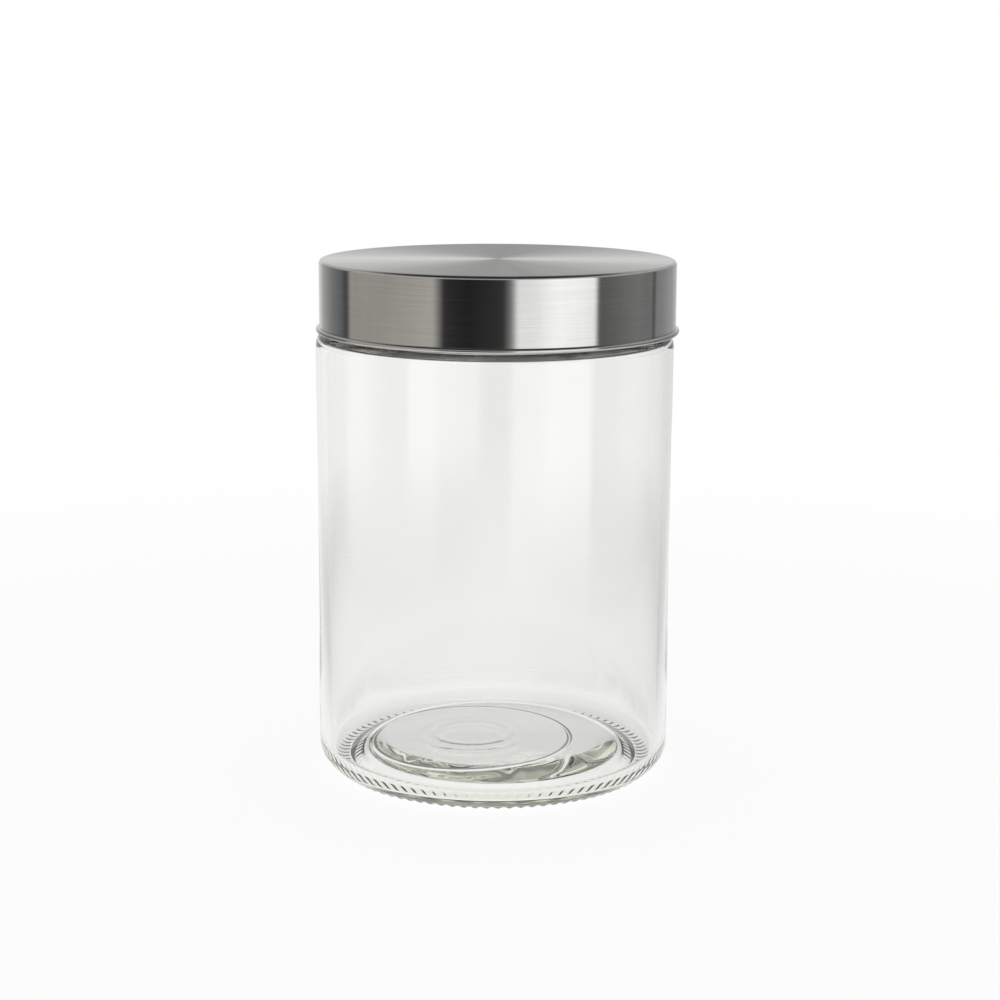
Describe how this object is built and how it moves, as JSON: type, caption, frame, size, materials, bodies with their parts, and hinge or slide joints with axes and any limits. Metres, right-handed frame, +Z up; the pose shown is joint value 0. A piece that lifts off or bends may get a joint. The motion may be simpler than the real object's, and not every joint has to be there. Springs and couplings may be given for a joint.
{
  "type": "glass storage jar with steel lid",
  "caption": "Straight-sided clear glass storage jar, empty, on a knurled bearing ring, closed by a loose push-on cap of brushed sheet steel with a rolled lower edge.",
  "frame": {"origin": "centre of the jar's base, on the plane of the table it stands on", "axes": "+Z up along the jar's axis; +X to the right and +Y away from someone in front of it; the cap leans to +X within its play"},
  "size_m": [0.1122, 0.112, 0.1605],
  "materials": {
    "clear_glass": "clear, smooth, faint olive tint",
    "brushed_steel": "fine brushing, round the side and spun on the top"
  },
  "bodies": {
    "root": {"glass_jar": "clear_glass", "steel_lid": "brushed_steel"}
  },
  "joints": []
}
